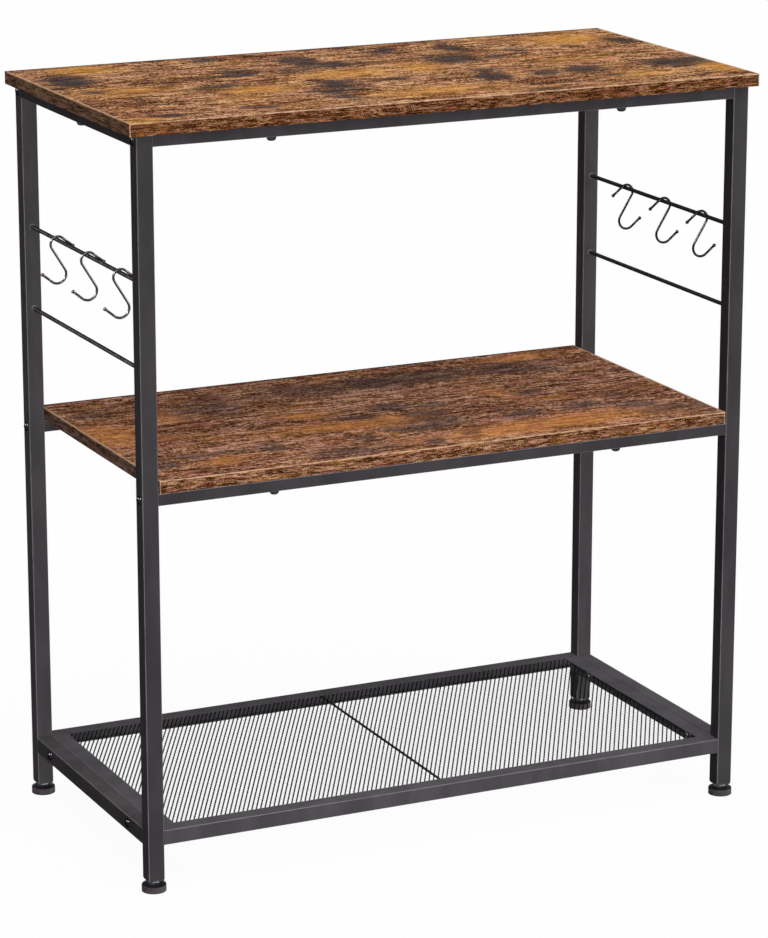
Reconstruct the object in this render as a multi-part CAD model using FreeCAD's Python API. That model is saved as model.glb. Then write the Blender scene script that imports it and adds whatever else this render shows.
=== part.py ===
import FreeCAD, Part
import math
import os

V = FreeCAD.Vector
UP, DOWN = V(0, 0, 1), V(0, 0, -1)
LEFT, RIGHT = V(-1, 0, 0), V(1, 0, 0)

# Three-tier kitchen shelving unit, in millimetres.
# The origin is on the floor under the middle of the unit: +X right, +Y back, +Z up.

# Overall size, over the top board
width = 800.0
depth = 400.0
height = 905.0

# Boards
board_thickness = 15.0
edging_thickness = 0.6
overhang_side = 10.0
overhang_front = 6.5
middle_height = 494.0
board_end_gap = 1.5

# Square tube of the two welded side frames
tube = 20.0
tube_wall = 1.2
tube_corner = 1.5

# Flat tube of the rails that carry the boards
rail_height = 14.0
rail_depth = 20.0
rail_corner = 1.2

# Round rods between the legs
rod_diameter = 5.0
upper_rod_drop = 185.0
rod_spacing = 100.0

# Mesh shelf: a folded channel frame with an expanded sheet under its flanges
shelf_top = 75.0
channel_flange = 20.0
channel_height = 18.0
channel_lip = 10.0
channel_wall = 1.2
sheet_thickness = 1.5
sheet_lap = 8.0
sheet_border = 3.0
strand_width = 3.0
mesh_columns = 24
mesh_rows = 6
wire_diameter = 3.0
wire_end_gap = 2.0

# Levelling feet
pad_diameter = 29.0
pad_edge_height = 8.0
pad_height = 10.0
pad_edge_radius = 1.5
pad_crown_diameter = 20.0
hex_across = 13.0
hex_height = 3.5
stud_diameter = 8.0
stud_length = 34.0
stud_floor = 3.0
insert_flange = 1.5
insert_flange_inset = 0.4
insert_depth = 16.0
foot_travel = 8.0

# Bolts, nuts and screws
bolt_diameter = 6.0
bolt_reach = 12.0
bolt_head_diameter = 11.0
bolt_head_height = 3.2
bolt_socket = 4.0
bolt_socket_depth = 1.8
rail_insert_length = 16.0
nut_across = 10.0
nut_height = 5.0
shelf_bolt_spread = 258.0
screw_diameter = 4.0
screw_reach = 11.0
screw_head_diameter = 8.6
screw_head_height = 2.4
screw_slot = 1.1
screw_spread = 447.0

# Hooks: two bends of one wire, joined by a straight shaft
hook_wire = 3.0
hook_ball = 4.4
upper_bend = 9.0
lower_bend = 11.0
bend_spacing = 36.3
bend_offset = 2.0
upper_arm_angle = 27.0
lower_arm_angle = 34.0
upper_arm_length = 17.0
lower_arm_length = 15.0
hook_places = {"left": (87.0, -13.0, -114.0), "right": (81.0, -14.0, -105.0)}

# Clearances
hole_clearance = 0.3
thread_clearance = 0.05
insert_clearance = 0.1
hook_clearance = 0.3
weld_gap = 0.05

# Places that several pieces share
SIDES = {"left": -1, "right": 1}
ENDS = {"front": -1, "back": 1}
leg_outer_x = width / 2 - overhang_side
leg_inner_x = leg_outer_x - tube
leg_x = leg_outer_x - tube / 2
leg_outer_y = depth / 2 - overhang_front
leg_inner_y = leg_outer_y - tube
leg_y = leg_outer_y - tube / 2
leg_bottom = pad_height + hex_height + insert_flange
top_underside = height - board_thickness
middle_underside = middle_height - board_thickness
rail_y = leg_outer_y - rail_depth / 2
upper_rod_height = height - upper_rod_drop
lower_rod_height = upper_rod_height - rod_spacing
rail_levels = {"top": top_underside - rail_height, "middle": middle_underside - rail_height}
shelf_bolt_z = shelf_top - channel_height / 2
tube_inside = tube - 2 * tube_wall
sheet_top = shelf_top - channel_wall


def box(low, high):
    """A block between two corners."""
    size = V(*high) - V(*low)
    return Part.makeBox(size.x, size.y, size.z, V(*low))


def rounded(block, axis, radius):
    """The block with its four edges along one axis rounded."""
    edges = [e for e in block.Edges if abs(e.tangentAt(e.FirstParameter).dot(axis)) > 0.99]
    return block.makeFillet(radius, edges)


def tube_between(low, high, axis, wall, corner):
    """A rectangular tube that fills the box from low to high and is open along the axis."""
    inner_low, inner_high = V(*low), V(*high)
    inset = V(wall, wall, wall) - axis * wall
    outer = rounded(box(low, high), axis, corner)
    return outer.cut(box(inner_low + inset, inner_high - inset))


def cylinder(diameter, length, start, direction):
    return Part.makeCylinder(diameter / 2, length, start, direction)


def prism(across, length, start, direction):
    """A hexagonal prism, its size taken across the flats."""
    radius = across / math.sqrt(3)
    corners = [V(radius * math.cos(math.radians(60 * k)), radius * math.sin(math.radians(60 * k)), 0)
               for k in range(7)]
    solid = Part.Face(Part.makePolygon(corners)).extrude(V(0, 0, length))
    return turned(solid, start, direction)


def turned(shape, start, direction):
    """A shape modelled along +Z, laid from start along the direction."""
    shape = shape.copy()
    shape.Placement = FreeCAD.Placement(start, FreeCAD.Rotation(UP, direction))
    return shape


def dome(diameter, rise):
    """A domed head that stands on the plane z = 0."""
    radius = (diameter ** 2 / 4 + rise ** 2) / (2 * rise)
    ball = Part.makeSphere(radius, V(0, 0, rise - radius))
    return ball.common(Part.makeCylinder(diameter / 2, rise))


def bolt(start, direction, length):
    """A dome-head bolt with a hexagon socket. The shank runs from start along the direction."""
    head = dome(bolt_head_diameter, bolt_head_height)
    socket = prism(bolt_socket, bolt_socket_depth, V(0, 0, bolt_head_height - bolt_socket_depth), UP)
    shank = Part.makeCylinder(bolt_diameter / 2, length, V(0, 0, 0), DOWN)
    return turned(head.cut(socket).fuse(shank).removeSplitter(), start, direction * -1)


def screw(start, length):
    """A pan-head screw with a cross recess, driven upward from start."""
    head = dome(screw_head_diameter, screw_head_height)
    recess_depth = screw_head_height / 2
    bar = box((-screw_head_diameter / 4, -screw_slot / 2, screw_head_height - recess_depth),
              (screw_head_diameter / 4, screw_slot / 2, screw_head_height))
    cross = bar.fuse(turned(bar, V(0, 0, 0), UP).rotate(V(0, 0, 0), UP, 90))
    tip_length = screw_diameter
    shank = Part.makeCylinder(screw_diameter / 2, length - tip_length, V(0, 0, 0), DOWN)
    tip = Part.makeCone(screw_diameter / 2, screw_diameter / 8, tip_length,
                        V(0, 0, tip_length - length), DOWN)
    return turned(head.cut(cross).fuse([shank, tip]).removeSplitter(), start, DOWN)


def frame_bolt_points():
    """Where each rail's bolts cross the legs' outer faces: side, end and height."""
    return [(side, end, level + rail_height / 2)
            for level in rail_levels.values() for side in SIDES.values() for end in ENDS.values()]


def leg(side, end):
    """One leg, with a hole right through it at each rail."""
    x, y = side * leg_x, end * leg_y
    shape = tube_between((x - tube / 2, y - tube / 2, leg_bottom),
                         (x + tube / 2, y + tube / 2, top_underside), UP, tube_wall, tube_corner)
    holes = [cylinder(bolt_diameter + 2 * hole_clearance, tube * 2, V(x - tube, end * rail_y, z), RIGHT)
             for bolt_side, bolt_end, z in frame_bolt_points() if (bolt_side, bolt_end) == (side, end)]
    return shape.cut(holes)


def span(side, inner, outer):
    """The low and high X of a stretch on one side of the middle."""
    return sorted((side * inner, side * outer))


def top_side_rail(side):
    """The rail under the top board's end, with the hole for its one screw."""
    x0, x1 = span(side, leg_outer_x - rail_depth, leg_outer_x)
    shape = tube_between((x0, -leg_inner_y, rail_levels["top"]), (x1, leg_inner_y, top_underside),
                         V(0, 1, 0), tube_wall, rail_corner)
    x = side * (leg_outer_x - rail_depth / 2)
    return shape.cut(cylinder(screw_diameter + 2 * hole_clearance, rail_height * 3,
                              V(x, 0, rail_levels["top"] - rail_height), UP))


def bottom_side_rail(side):
    """The rail between the legs that the mesh shelf is bolted to."""
    x0, x1 = span(side, leg_inner_x, leg_outer_x)
    shape = tube_between((x0, -leg_inner_y, shelf_top - tube), (x1, leg_inner_y, shelf_top),
                         V(0, 1, 0), tube_wall, tube_corner)
    holes = [cylinder(bolt_diameter + 2 * hole_clearance, tube * 2,
                      V(x0 - tube / 2, end * shelf_bolt_spread / 2, shelf_bolt_z), RIGHT)
             for end in ENDS.values()]
    return shape.cut(holes)


def rod(side, z):
    return cylinder(rod_diameter, 2 * leg_inner_y, V(side * leg_x, -leg_inner_y, z), V(0, 1, 0))


def long_rail(level, end):
    """A rail between two legs, with holes for the board's two screws."""
    z = rail_levels[level]
    y = end * rail_y
    shape = tube_between((-leg_inner_x, y - rail_depth / 2, z),
                         (leg_inner_x, y + rail_depth / 2, z + rail_height),
                         RIGHT, tube_wall, rail_corner)
    holes = [cylinder(screw_diameter + 2 * hole_clearance, rail_height * 3,
                      V(side * screw_spread / 2, y, z - rail_height), UP)
             for side in SIDES.values()]
    return shape.cut(holes)


def rail_inserts():
    """Threaded blocks pressed into the ends of the four long rails."""
    half_depth = rail_depth / 2 - tube_wall - insert_clearance
    half_height = rail_height / 2 - tube_wall - insert_clearance
    blocks = []
    for side, end, z in frame_bolt_points():
        x0, x1 = span(side, leg_inner_x - rail_insert_length, leg_inner_x)
        y = end * rail_y
        block = box((x0, y - half_depth, z - half_height), (x1, y + half_depth, z + half_height))
        blocks.append(block.cut(cylinder(bolt_diameter + 2 * thread_clearance, rail_insert_length * 3,
                                         V(x0 - rail_insert_length, y, z), RIGHT)))
    return blocks


def frame_bolts():
    return [bolt(V(side * leg_outer_x, end * rail_y, z), V(-side, 0, 0), tube + bolt_reach)
            for side, end, z in frame_bolt_points()]


def board_screws(level):
    """The screws that hold one board down: two in each long rail, and for the top board one in each side rail."""
    z = rail_levels[level]
    points = [V(side * screw_spread / 2, end * rail_y, z) for side in SIDES.values() for end in ENDS.values()]
    if level == "top":
        points += [V(side * (leg_outer_x - rail_depth / 2), 0, z) for side in SIDES.values()]
    return points


def screws(level):
    return [screw(point, rail_height + screw_reach) for point in board_screws(level)]


def board(half_x, half_y, level):
    """A board without its edging, with a pilot hole for each screw."""
    z = rail_levels[level] + rail_height
    core = box((-half_x + edging_thickness, -half_y + edging_thickness, z),
               (half_x - edging_thickness, half_y - edging_thickness, z + board_thickness))
    pilots = [cylinder(screw_diameter + 2 * thread_clearance, rail_height + screw_reach + 1, point, UP)
              for point in board_screws(level)]
    return core.cut(pilots)


def edging(half_x, half_y, level):
    """Four strips glued round a board's edges."""
    z0 = rail_levels[level] + rail_height
    z1 = z0 + board_thickness
    strips = []
    for sign in (-1, 1):
        y0, y1 = sorted((sign * (half_y - edging_thickness), sign * half_y))
        strips.append(box((-half_x, y0, z0), (half_x, y1, z1)))
        x0, x1 = sorted((sign * (half_x - edging_thickness), sign * half_x))
        inner_y = half_y - edging_thickness
        strips.append(box((x0, -inner_y, z0), (x1, inner_y, z1)))
    return strips


def channel(length):
    """A folded channel along +X with its web on the plane y = 0, open towards +Y."""
    high, wall = channel_height, channel_wall
    outline = [V(0, 0, 0), V(0, 0, -high), V(0, channel_lip, -high), V(0, channel_lip, wall - high),
               V(0, wall, wall - high), V(0, wall, -wall), V(0, channel_flange, -wall),
               V(0, channel_flange, 0), V(0, 0, 0)]
    solid = Part.Face(Part.makePolygon(outline)).extrude(V(length, 0, 0))
    folds = [e for e in solid.Edges
             if abs(e.tangentAt(e.FirstParameter).x) > 0.99 and abs(e.CenterOfMass.y) < 1e-6]
    return solid.makeFillet(channel_wall, folds)


def mesh_long_rail(end):
    """The mesh frame's front or back channel, open towards the middle."""
    piece = channel(2 * leg_inner_x)
    piece.translate(V(-leg_inner_x, 0, 0))
    piece.rotate(V(0, 0, 0), UP, 0 if end < 0 else 180)
    piece.translate(V(0, end * leg_outer_y, shelf_top))
    return piece


def mesh_end_rail(side):
    """The mesh frame's end channel, butted between the long ones, with two bolt holes in its web."""
    half = leg_outer_y - channel_flange
    piece = channel(2 * half)
    piece.translate(V(-half, 0, 0))
    piece.rotate(V(0, 0, 0), UP, 90 * side)
    piece.translate(V(side * leg_inner_x, 0, shelf_top))
    holes = [cylinder(bolt_diameter + 2 * hole_clearance, 6 * channel_wall,
                      V(side * leg_inner_x - 3 * channel_wall, end * shelf_bolt_spread / 2, shelf_bolt_z), RIGHT)
             for end in ENDS.values()]
    return piece.cut(holes)


def mesh_sheet():
    """The expanded sheet under the flanges: one face with rows of diamonds, every second row shifted by half."""
    half_x = leg_inner_x - channel_flange + sheet_lap
    half_y = leg_outer_y - channel_flange + sheet_lap
    pitch_x = 2 * (half_x - sheet_border) / mesh_columns
    pitch_y = 2 * (half_y - sheet_border) / mesh_rows
    slope = math.hypot(pitch_x, pitch_y)
    wide = pitch_x / 2 - strand_width * slope / pitch_y / 2
    tall = pitch_y / 2 - strand_width * slope / pitch_x / 2
    centres = [(column - (mesh_columns - 1) / 2, row - (mesh_rows - 1) / 2)
               for column in range(mesh_columns) for row in range(mesh_rows)]
    centres += [(column - (mesh_columns - 2) / 2, row - (mesh_rows - 2) / 2)
                for column in range(mesh_columns - 1) for row in range(mesh_rows - 1)]
    loops = [Part.makePolygon([V(-half_x, -half_y, 0), V(half_x, -half_y, 0), V(half_x, half_y, 0),
                               V(-half_x, half_y, 0), V(-half_x, -half_y, 0)])]
    for column, row in centres:
        x, y = column * pitch_x, row * pitch_y
        loops.append(Part.makePolygon([V(x - wide, y, 0), V(x, y - tall, 0), V(x + wide, y, 0),
                                       V(x, y + tall, 0), V(x - wide, y, 0)]))
    sheet = Part.makeFace(loops, "Part::FaceMakerBullseye").extrude(V(0, 0, sheet_thickness))
    sheet.translate(V(0, 0, sheet_top - sheet_thickness))
    return sheet


def support_wire():
    """The wire under the middle of the sheet, from front channel to back channel."""
    half = leg_outer_y - channel_wall - wire_end_gap
    z = sheet_top - sheet_thickness - wire_diameter / 2 - weld_gap
    return cylinder(wire_diameter, 2 * half, V(0, -half, z), V(0, 1, 0))


def shelf_bolt_points():
    return [(side, end * shelf_bolt_spread / 2) for side in SIDES.values() for end in ENDS.values()]


def shelf_bolts():
    """Bolts through the bottom side rails and the end channels' webs."""
    reach = tube + channel_wall + nut_height + 1
    return [bolt(V(side * leg_outer_x, y, shelf_bolt_z), V(-side, 0, 0), reach)
            for side, y in shelf_bolt_points()]


def shelf_nuts():
    """One nut behind the web for each shelf bolt."""
    nuts = []
    for side, y in shelf_bolt_points():
        face = V(side * (leg_inner_x - channel_wall), y, shelf_bolt_z)
        nut = prism(nut_across, nut_height, face, V(-side, 0, 0))
        nuts.append(nut.cut(cylinder(bolt_diameter + 2 * thread_clearance, nut_height * 3,
                                     face + V(side * nut_height, 0, 0), V(-side, 0, 0))))
    return nuts


def foot_insert(x, y):
    """The threaded plug in a leg's lower end, with a thin flange under the tube."""
    half = tube_inside / 2 - insert_clearance
    plug = rounded(box((x - half, y - half, leg_bottom), (x + half, y + half, leg_bottom + insert_depth)),
                   UP, tube_corner)
    rim = tube / 2 - insert_flange_inset
    flange = rounded(box((x - rim, y - rim, leg_bottom - insert_flange), (x + rim, y + rim, leg_bottom)),
                     UP, tube_corner)
    bore = cylinder(stud_diameter + 2 * thread_clearance, insert_depth * 3, V(x, y, 0), UP)
    return plug.fuse(flange).cut(bore).removeSplitter()


def foot_stud(x, y):
    """The screw of a foot: its hexagon lies between the pad and the insert, its end turns in the pad."""
    shank = cylinder(stud_diameter, stud_length, V(x, y, stud_floor), UP)
    shank = shank.makeChamfer(stud_diameter / 10, [shank.Edges[0]])
    return shank.fuse(prism(hex_across, hex_height, V(x, y, pad_height), UP)).removeSplitter()


def foot_pad(x, y):
    """The round pad: straight edge, sloping shoulder and a blind bore for the stud's end."""
    radius, crown = pad_diameter / 2, pad_crown_diameter / 2
    outline = Part.makePolygon([V(0, 0, 0), V(radius, 0, 0), V(radius, 0, pad_edge_height),
                                V(crown, 0, pad_height), V(0, 0, pad_height), V(0, 0, 0)])
    pad = Part.Face(outline).revolve(V(0, 0, 0), UP, 360)
    shoulder = [e for e in pad.Edges
                if len(e.Vertexes) == 1 and abs(e.BoundBox.XLength - pad_diameter) < 1e-3
                and abs(e.BoundBox.ZMax - pad_edge_height) < 1e-3]
    pad = pad.makeFillet(pad_edge_radius, shoulder)
    bore = cylinder(stud_diameter + 2 * thread_clearance, pad_height, V(0, 0, stud_floor - thread_clearance), UP)
    pad = pad.cut(bore)
    pad.translate(V(x, y, 0))
    return pad


def hook_path():
    """The hook's middle line. The first value of each point is the distance outward from the upper bend's centre."""
    def point(centre, radius, degrees):
        angle = math.radians(degrees)
        return V(centre[0] + radius * math.sin(angle), 0, centre[1] + radius * math.cos(angle))

    upper, lower = (0.0, 0.0), (-bend_offset, -bend_spacing)
    apart = math.hypot(bend_offset, bend_spacing)
    lean = math.degrees(math.asin((upper_bend + lower_bend) / apart) + math.atan2(bend_offset, bend_spacing))
    leave, meet = 90 + lean, 270 + lean
    start_turn, end_turn = -upper_arm_angle, 180 - lower_arm_angle
    upper_start, lower_end = point(upper, upper_bend, start_turn), point(lower, lower_bend, end_turn)
    rise, run = math.sin(math.radians(upper_arm_angle)), math.cos(math.radians(upper_arm_angle))
    first = upper_start + V(-run, 0, -rise) * upper_arm_length
    rise, run = math.sin(math.radians(lower_arm_angle)), math.cos(math.radians(lower_arm_angle))
    last = lower_end + V(run, 0, rise) * lower_arm_length
    upper_arc = Part.Arc(upper_start, point(upper, upper_bend, (start_turn + leave) / 2),
                         point(upper, upper_bend, leave))
    lower_arc = Part.Arc(point(lower, lower_bend, meet), point(lower, lower_bend, (meet + end_turn) / 2),
                         lower_end)
    edges = [Part.LineSegment(first, upper_start).toShape(), upper_arc.toShape(),
             Part.LineSegment(point(upper, upper_bend, leave), point(lower, lower_bend, meet)).toShape(),
             lower_arc.toShape(), Part.LineSegment(lower_end, last).toShape()]
    return Part.Wire(edges), first, last, V(run, 0, rise)


def hook(side, y):
    """One S-hook, hanging in balance with its upper bend just clear of the upper rod."""
    path, first, last, along = hook_path()
    section = Part.Wire(Part.makeCircle(hook_wire / 2, last, along))
    wire = path.makePipeShell([section], True, False)
    balls = [Part.makeSphere(hook_ball / 2, tip) for tip in (first, last)]
    shape = wire.fuse(balls).removeSplitter().Solids[0]
    weight = shape.CenterOfMass
    shape.rotate(V(0, 0, 0), V(0, 1, 0), math.degrees(math.atan2(weight.x, -weight.z)))
    if side < 0:
        shape = shape.mirror(V(0, 0, 0), RIGHT)
    drop = upper_bend - hook_wire / 2 - hook_clearance - rod_diameter / 2
    shape.translate(V(side * leg_x, y, upper_rod_height - drop))
    return shape


def build():
    """Every piece of the unit, by name. A list is a group of like pieces in one file."""
    pieces = {}
    for side_name, side in SIDES.items():
        for end_name, end in ENDS.items():
            corner = f"{end_name}_{side_name}"
            x, y = side * leg_x, end * leg_y
            pieces[f"leg_{corner}"] = leg(side, end)
            pieces[f"foot_insert_{corner}"] = foot_insert(x, y)
            pieces[f"foot_stud_{corner}"] = foot_stud(x, y)
            pieces[f"foot_pad_{corner}"] = foot_pad(x, y)
        pieces[f"top_side_rail_{side_name}"] = top_side_rail(side)
        pieces[f"bottom_side_rail_{side_name}"] = bottom_side_rail(side)
        pieces[f"upper_rod_{side_name}"] = rod(side, upper_rod_height)
        pieces[f"lower_rod_{side_name}"] = rod(side, lower_rod_height)
        pieces[f"mesh_frame_{side_name}"] = mesh_end_rail(side)
        for number, y in enumerate(hook_places[side_name], 1):
            pieces[f"hook_{side_name}_{number}"] = hook(side, y)
    board_sizes = {"top": (width / 2, depth / 2), "middle": (leg_inner_x - board_end_gap, leg_outer_y)}
    for level, (half_x, half_y) in board_sizes.items():
        pieces[f"{level}_board"] = board(half_x, half_y, level)
        pieces[f"{level}_edging"] = edging(half_x, half_y, level)
        pieces[f"{level}_board_screws"] = screws(level)
        for end_name, end in ENDS.items():
            pieces[f"{level}_rail_{end_name}"] = long_rail(level, end)
    for end_name, end in ENDS.items():
        pieces[f"mesh_frame_{end_name}"] = mesh_long_rail(end)
    pieces["mesh_sheet"] = mesh_sheet()
    pieces["mesh_support_wire"] = support_wire()
    pieces["rail_end_inserts"] = rail_inserts()
    pieces["frame_bolts"] = frame_bolts()
    pieces["shelf_bolts"] = shelf_bolts()
    pieces["shelf_nuts"] = shelf_nuts()
    return pieces


os.makedirs("parts", exist_ok=True)
for name, shape in build().items():
    solid = Part.makeCompound(shape) if isinstance(shape, list) else shape
    solid.exportStep(f"parts/{name}.step")
    print(name, len(solid.Solids), round(solid.Volume), solid.isValid())
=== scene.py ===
import math

import bmesh
import bpy
from mathutils import Matrix, Vector


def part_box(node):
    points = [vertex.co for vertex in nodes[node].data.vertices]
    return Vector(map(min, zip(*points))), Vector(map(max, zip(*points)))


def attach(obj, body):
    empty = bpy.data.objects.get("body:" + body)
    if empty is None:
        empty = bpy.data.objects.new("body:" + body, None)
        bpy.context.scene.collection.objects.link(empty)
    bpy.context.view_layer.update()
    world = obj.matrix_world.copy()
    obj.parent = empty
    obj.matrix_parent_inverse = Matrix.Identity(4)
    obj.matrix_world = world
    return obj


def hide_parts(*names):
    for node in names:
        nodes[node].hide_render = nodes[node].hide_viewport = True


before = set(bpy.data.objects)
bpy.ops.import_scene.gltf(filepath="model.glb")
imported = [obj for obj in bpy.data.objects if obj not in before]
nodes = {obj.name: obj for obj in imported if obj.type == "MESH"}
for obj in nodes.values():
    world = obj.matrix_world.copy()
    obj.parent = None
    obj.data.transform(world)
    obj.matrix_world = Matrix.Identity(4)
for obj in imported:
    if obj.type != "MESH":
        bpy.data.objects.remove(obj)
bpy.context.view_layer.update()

# Kitchen shelving unit: black powder-coated tube, rustic brown boards, expanded mesh shelf.
# Lengths are in metres and angles in degrees, unless a name or a comment says otherwise.
MM = 0.001
# The sides of the unit, each with its sign along X
SIDES = {"left": -1, "right": 1}

# Camera, fitted to the edges of the unit. Its lens and sensor are in millimetres.
camera_place = Vector((-1.8869, -3.9723, 1.6163))
camera_heading = 25.45
camera_dip = 15.244
camera_lens = 143.5
camera_sensor = 36.0

# Surroundings: levels, as shares of the light at which a colour renders as written, and half the floor's side
sky_level = 0.34
floor_return = 0.2
floor_glow = 0.95
floor_half = 30.0

# Lamps. from_right turns a lamp from the front towards the right, and rise lifts it. level is the light that
# it gives on a face that looks straight at it. spread is how wide it looks. matte and gloss are whether it
# lights matte surfaces and whether it shows in reflections.
lamp_distance = 3.0
lamps = {
    "front_fill_lamp": {"from_right": 8.0, "rise": 12.0, "level": 0.6, "spread": 10.0, "shadow": False},
    "side_fill_lamp": {"from_right": -75.0, "rise": 10.0, "level": 0.06, "spread": 10.0, "shadow": False},
    "back_fill_lamp": {"from_right": 150.0, "rise": 10.0, "level": 0.25, "spread": 10.0, "shadow": False,
                       "gloss": False},
    "top_lamp": {"from_right": 10.0, "rise": 64.0, "level": 0.44, "spread": 60.0},
    "right_gloss_lamp": {"from_right": 68.0, "rise": 2.0, "level": 3.0, "spread": 50.0, "shadow": False,
                         "matte": False},
    "left_gloss_lamp": {"from_right": -60.0, "rise": 35.0, "level": 2.5, "spread": 20.0, "shadow": False,
                        "matte": False},
    "rear_gloss_lamp": {"from_right": -118.0, "rise": 24.0, "level": 3.0, "spread": 14.0, "shadow": False,
                        "matte": False},
}

# Expanded mesh. A strand leans right (1) or left (-1) as it runs back. mesh_stretch opens out its pitch
# towards the right.
mesh_pitch_x = 5.93 * MM
mesh_pitch_y = 10.64 * MM
mesh_stretch = 0.08
strand_widths = {1: 1.62 * MM, -1: 0.55 * MM}
strand_thickness = 0.1 * MM
strand_tilts = {1: -12.0, -1: -32.0}
strand_steps = 8
bond_length = 2.0 * MM
bond_width = 1.6 * MM
bond_tilt = -22.0

# S-hooks, each one bent wire with ball ends. hook_lean is how far it leans to hang in balance.
hook_wire = 3.0 * MM
hook_ball = 4.4 * MM
hook_clearance = 0.3 * MM
upper_bend = 9.0 * MM
lower_bend = 11.0 * MM
bend_offset = 2.0 * MM
bend_spacing = 36.3 * MM
upper_arm_angle = 33.0
lower_arm_angle = 34.0
upper_arm_length = 17.0 * MM
lower_arm_length = 14.95 * MM
hook_lean = -5.26
hook_numbers = (1, 2, 3)
bend_steps = 28
wire_sides = 16
ball_rings = 10

# Weld beads round the rods' ends. A swell is its share of the bead, its count round the rod and its start
# in radians.
bead_size = 1.3 * MM
bead_rings = 4
bead_swells = ((0.16, 5, 1.3), (0.08, 9, 0.0))
round_sides = 24

# Screws under the boards. The profile is radius and height from the seat, in millimetres. Its first rings are
# the socket.
screw_head_radius = 4.3 * MM
screw_head_height = 2.4 * MM
screw_spread = 447.0 * MM
socket_rings = 2
screw_profile = [
    (1.6, -4.0), (1.6, -5.6), (3.0, -5.6), (4.3, -4.9), (5.1, -3.8), (5.5, -2.5), (5.8, -1.1), (5.8, -0.1),
    (2.0, -0.1), (2.0, 20.0), (0.5, 24.5),
]

# Noise in the metal and plastic: its size in millimetres along each axis, its detail and its roughness
wear_patches = ((14.0, 14.0, 14.0), 4.0, 0.6)
corner_patches = ((9.0, 9.0, 30.0), 4.0, 0.6)
orange_peel = ((1.1, 1.1, 1.1), 2.0, 0.6)
paint_grit = ((0.35, 0.35, 0.35), 1.0)
paint_cloud = ((45.0, 45.0, 130.0), 3.0, 0.6)
handling_marks = ((3.0, 3.0, 3.0), 4.0, 0.65)
plastic_texture = ((0.6, 0.6, 0.6), 2.0, 0.6)
plastic_scuffs = ((7.0, 7.0, 7.0), 4.0, 0.7)
noise_low = 0.3
noise_middle = 0.5
noise_high = 0.7

# Worn edges, and the painted highlight lines along the powder coat's corners: where a mask starts and ends, as
# 1 less the cosine of the normal's turn at a rounded edge, and as the largest part of the normal at a corner.
# corner_break is a range of noise and the strength it gives.
edge_samples = 4
edge_turn = (0.004, 0.09)
corner_lean = (0.985, 0.86)
corner_break = (0.3, 0.6, 0.6, 1.0)

# Powder coat
peel_share = 0.7
grit_share = 0.3
cloud_tone = 0.5
grit_tone = 0.25
paint_tone = 0.3
paint_roughness = 0.6
paint_roughness_swing = 0.06
paint_specular = 0.002
paint_relief = 0.05 * MM
# The paler coat on the upward faces is partly dust and partly painted top light: where it starts and is full,
# as the normal's Z, and its swing
dust_and_top_light_slope = (0.8, 0.98)
dust_and_top_light_swing = 0.2

# Bare metal and plastic
metal_edge_radius = 0.3 * MM
metal_edge_gain = 2.2
metal_edge_wear = 0.4
metal_tone = (0.85, 1.15)
metal_roughness_swing = (0.8, 1.25)
metal_relief = 0.01 * MM
plastic_edge_radius = 0.5 * MM
plastic_edge_wear = 0.5
# Where the plastic's painted light, greyer on upright sides than on the shaded top, starts and ends, as the
# normal's Z
plastic_lit_side_lean = (0.6, 0.1)
plastic_tone = (0.3, 0.75, 0.85, 1.2)
plastic_roughness = (0.26, 0.4)
plastic_specular = 0.02
plastic_relief = 0.03 * MM

# The boards' print in layers of noise: size in millimetres along the grain and across it, detail, roughness
# and distortion. The size of Blotch is each board's own.
layer_noise = {
    "Sway": ((200.0, 90.0, 90.0), 2.0, 0.5), "Ripple": ((40.0, 22.0, 22.0), 2.0, 0.5),
    "Blotch": ((1.0, 1.0, 1.0), 4.0, 0.6), "Streaks": ((100.0, 9.0, 9.0), 4.0, 0.62),
    "Flecks": ((22.0, 5.5, 5.5), 3.0, 0.6), "Speckle": ((3.0, 4.0, 4.0), 1.5, 0.6),
    "Lines": ((46.0, 3.6, 3.6), 2.0, 0.6), "Fibre": ((26.0, 1.3, 1.3), 3.0, 0.6),
    "Golden": ((110.0, 30.0, 30.0), 5.0, 0.65), "Umber": ((90.0, 26.0, 26.0), 5.0, 0.65, 0.4),
    "Dashes": ((26.0, 6.0, 6.0), 2.0, 0.5), "Lumps": ((42.0, 17.0, 17.0), 5.0, 0.68),
}
# The noise to either side of its middle that a layer stretches over -1 to 1, and the noise where a mask
# starts and ends
layer_half_widths = {"Streaks": 0.16, "Flecks": 0.16, "Lines": 0.17, "Fibre": 0.2, "Lumps": 0.25,
                     "Blotch": 0.2, "Speckle": 0.17}
mask_ranges = {"Golden": (0.52, 0.64), "Umber": (0.53, 0.66), "Dashes": (0.62, 0.7)}
sway_mm = 70.0
ripple_mm = 12.0
tremble_mm = 32.0
figure_pitch_mm = 9.0
figure_weights = {"Lumps": 1.2, "Streaks": 0.8}
height_weights = {"Streaks": 0.2, "Fibre": 0.3, "Speckle": 0.15, "Dashes": -0.4}
print_relief = 0.1 * MM
print_specular = 0.001
print_roughness = (0.58, 0.42)

# How the layers make the print's tone, from its deepest colour to its palest
tone_places = {"deep": 0.02, "brown": 0.27, "middle": 0.5, "tan": 0.73, "pale": 0.98}
face_weights = {
    "Blotch": 0.2, "Streaks": 0.28, "Flecks": 0.3, "Speckle": 0.44, "Lines": 0.34, "Fibre": 0.22,
}
middle_weights = {
    "Blotch": 0.12, "Streaks": 0.2, "Flecks": 0.15, "Speckle": 0.32, "Lines": 0.3, "Fibre": 0.24,
}
edging_weights = {
    "Blotch": 0.1, "Streaks": 0.14, "Flecks": 0.16, "Speckle": 0.26, "Lines": 0.26, "Fibre": 0.4,
}
end_calm = 0.45
figure_share = 0.2

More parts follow.
